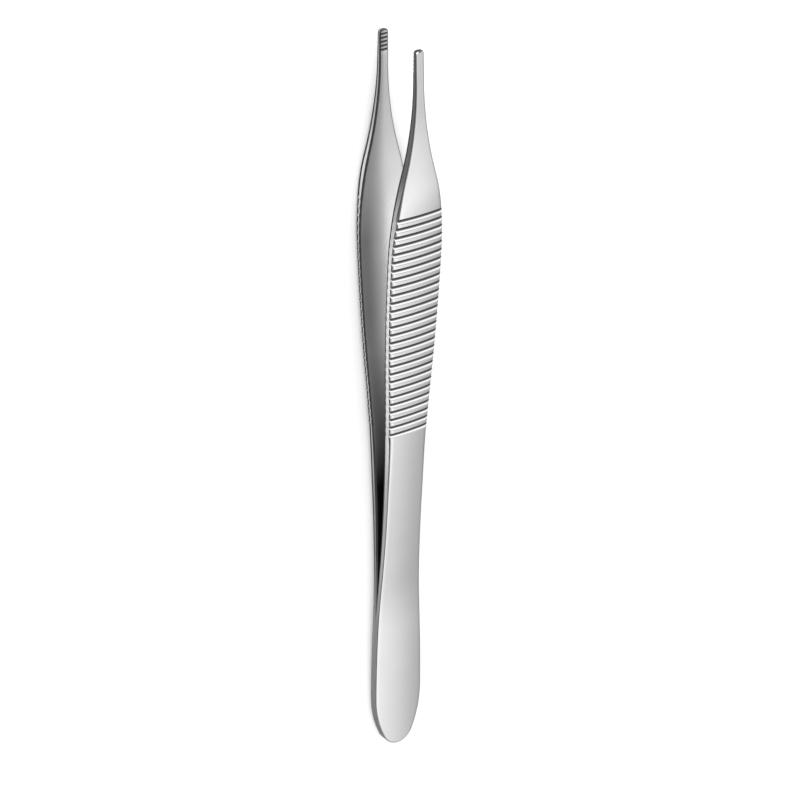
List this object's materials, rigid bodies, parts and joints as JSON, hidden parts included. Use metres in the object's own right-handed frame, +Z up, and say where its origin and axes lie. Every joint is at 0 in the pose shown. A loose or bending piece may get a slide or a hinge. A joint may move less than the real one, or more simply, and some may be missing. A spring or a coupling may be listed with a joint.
{
  "type": "thumb forceps",
  "caption": "Slim thumb forceps: two spring legs joined at the tail, cross-grooved thumb grips, narrow necks and serrated tips.",
  "frame": {"origin": "bottom centre of the bounding box, on the table that the forceps lie on", "axes": "X across the legs, Y from the tail end towards the tips, Z up, from the lower leg to the upper leg"},
  "size_m": [0.0088, 0.1202, 0.0116],
  "materials": {
    "satin_steel": "satin-ground and polished stainless steel"
  },
  "bodies": {
    "root": {"upper_leg": "satin_steel", "lower_leg": "satin_steel"}
  },
  "joints": []
}
